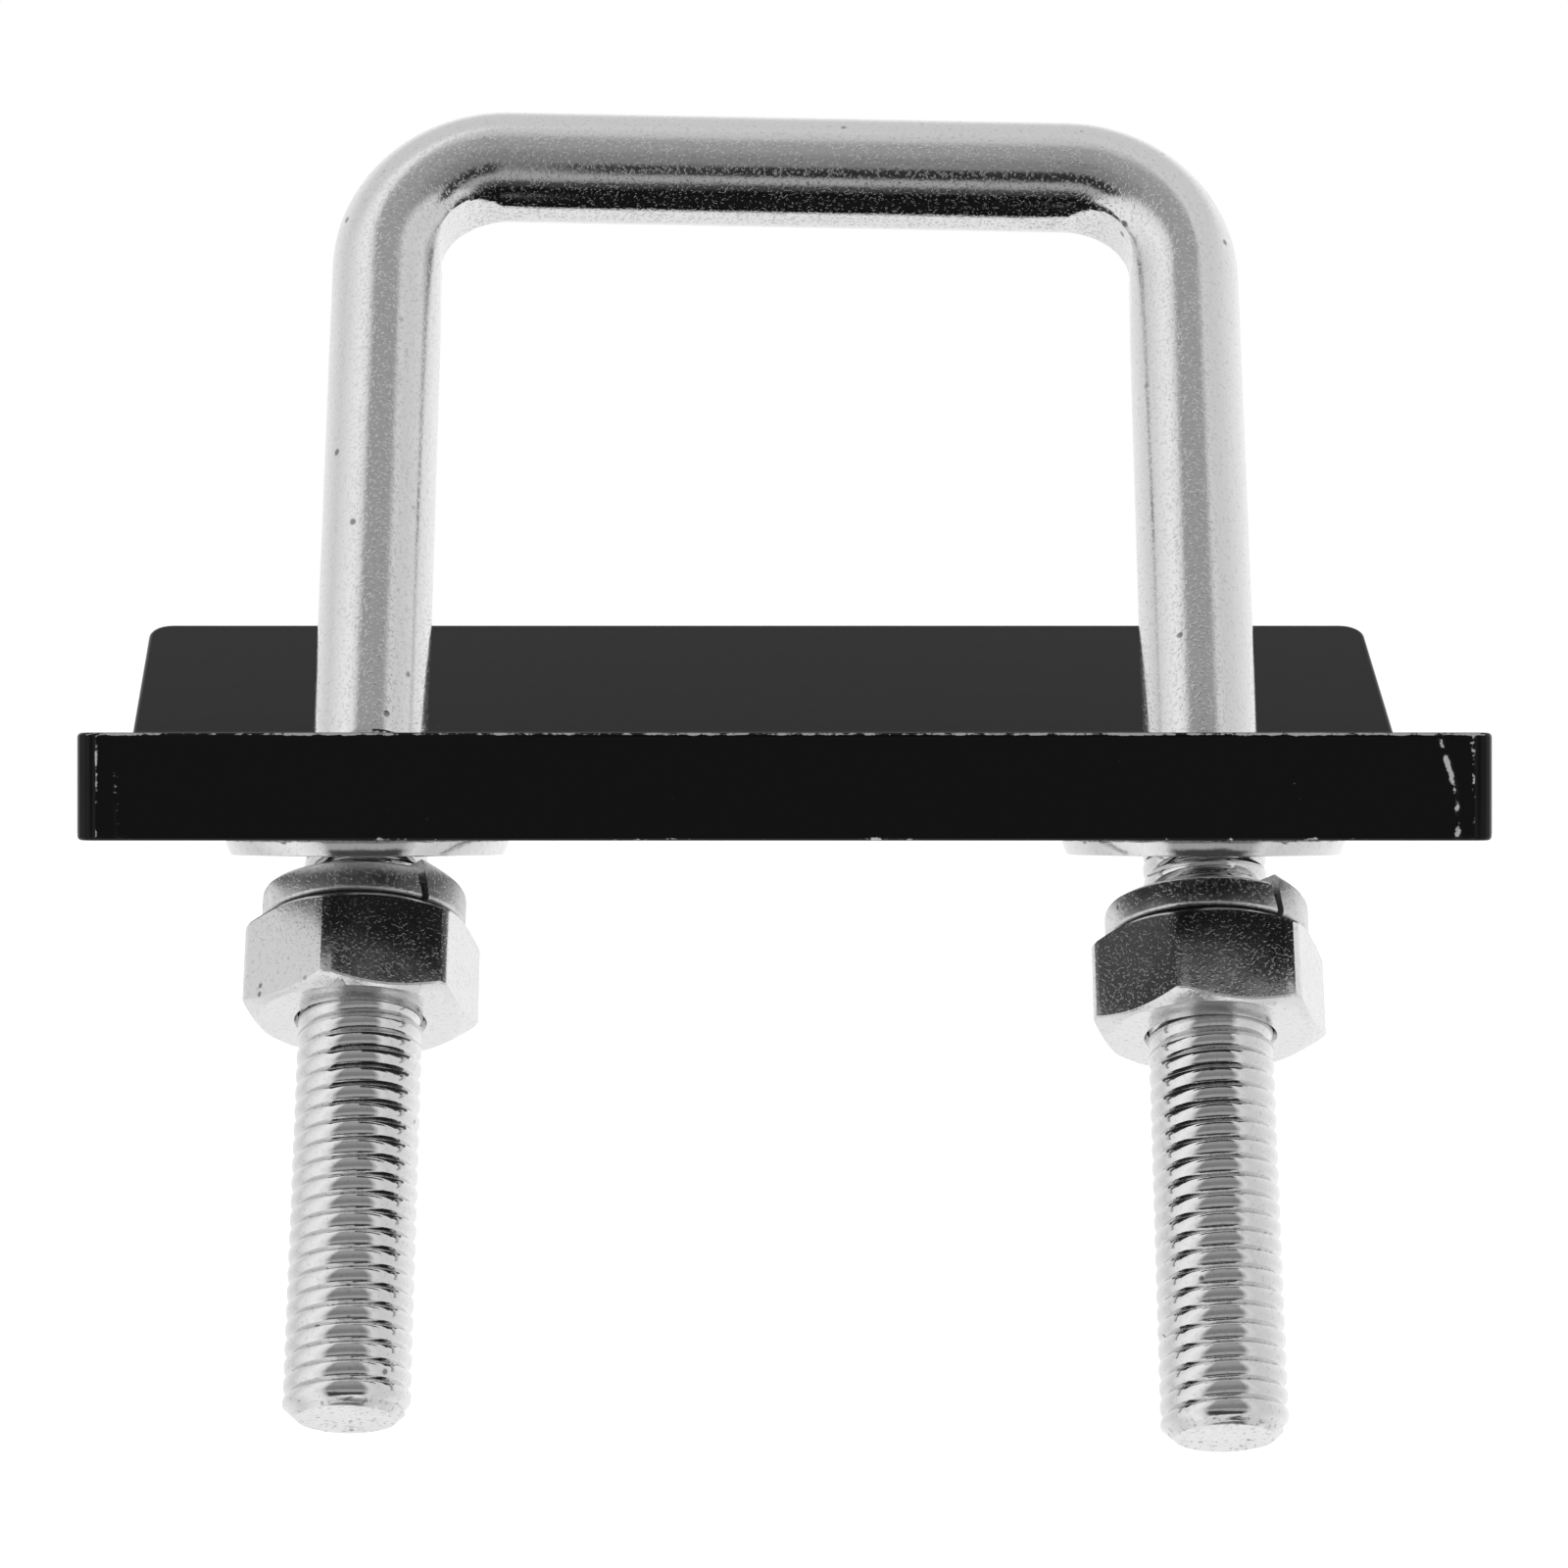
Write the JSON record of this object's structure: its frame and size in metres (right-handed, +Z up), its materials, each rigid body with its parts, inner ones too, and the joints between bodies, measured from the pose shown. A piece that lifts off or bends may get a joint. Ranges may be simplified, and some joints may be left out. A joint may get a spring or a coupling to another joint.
{
  "type": "square-bend u-bolt clamp",
  "caption": "Zinc-plated square-bend U-bolt drawn down by hex nuts onto a black bent clamp plate, for clamping a bar or hitch shank.",
  "frame": {"origin": "on the clamp plate's top face, midway between its two holes", "axes": "+X along the plate through both holes, +Y towards the plate's bent-up flange, +Z up out of the plate's top face"},
  "size_m": [0.1114, 0.0698, 0.1101],
  "materials": {
    "black_enamel": "gloss black enamel over steel, chipped at the edges",
    "zinc_rod": "bright zinc plate",
    "zinc_washer": "bright zinc plate, stamped edge",
    "zinc_lock_washer": "bright zinc plate",
    "zinc_nut": "bright zinc plate, forged faces"
  },
  "bodies": {
    "clamp_plate": {"clamp_plate": "black_enamel"},
    "flat_washer_left": {"flat_washer_left": "zinc_washer"},
    "flat_washer_right": {"flat_washer_right": "zinc_washer"},
    "lock_washers": {"lock_washer_left": "zinc_lock_washer", "lock_washer_right": "zinc_lock_washer"},
    "u_bolt": {"u_bolt": "zinc_rod"},
    "nut_left": {"nut_left": "zinc_nut"},
    "nut_right": {"nut_right": "zinc_nut"}
  },
  "joints": [
    {"name": "flat_washer_left_spin", "type": "hinge", "parent": "clamp_plate", "child": "flat_washer_left", "pos_m": [-0.034, -0.00141, -0.00832], "axis": [0, 0, 1], "continuous": true},
    {"name": "flat_washer_right_spin", "type": "hinge", "parent": "clamp_plate", "child": "flat_washer_right", "pos_m": [0.034, -0.00141, -0.00832], "axis": [0, 0, 1], "continuous": true},
    {"name": "bolt_rock", "type": "hinge", "parent": "clamp_plate", "child": "lock_washers", "pos_m": [0, 0, -0.00415], "axis": [1, 0, 0], "range_deg": [0, 23.2]},
    {"name": "bolt_draw", "type": "slide", "parent": "lock_washers", "child": "u_bolt", "axis": [0, 0.3939, 0.9191], "range_m": [-0.014, 0.032]},
    {"name": "nut_left_spin", "type": "hinge", "parent": "lock_washers", "child": "nut_left", "pos_m": [-0.034, 0, -0.00415], "axis": [0, 0.3939, 0.9191], "continuous": true},
    {"name": "nut_right_spin", "type": "hinge", "parent": "lock_washers", "child": "nut_right", "pos_m": [0.034, 0, -0.00415], "axis": [0, 0.3939, 0.9191], "continuous": true}
  ],
  "couplings": [
    {"joint": "nut_left_spin", "follows": "bolt_draw", "rad_per_m": -4188.8},
    {"joint": "nut_right_spin", "follows": "bolt_draw", "rad_per_m": -4188.8}
  ]
}
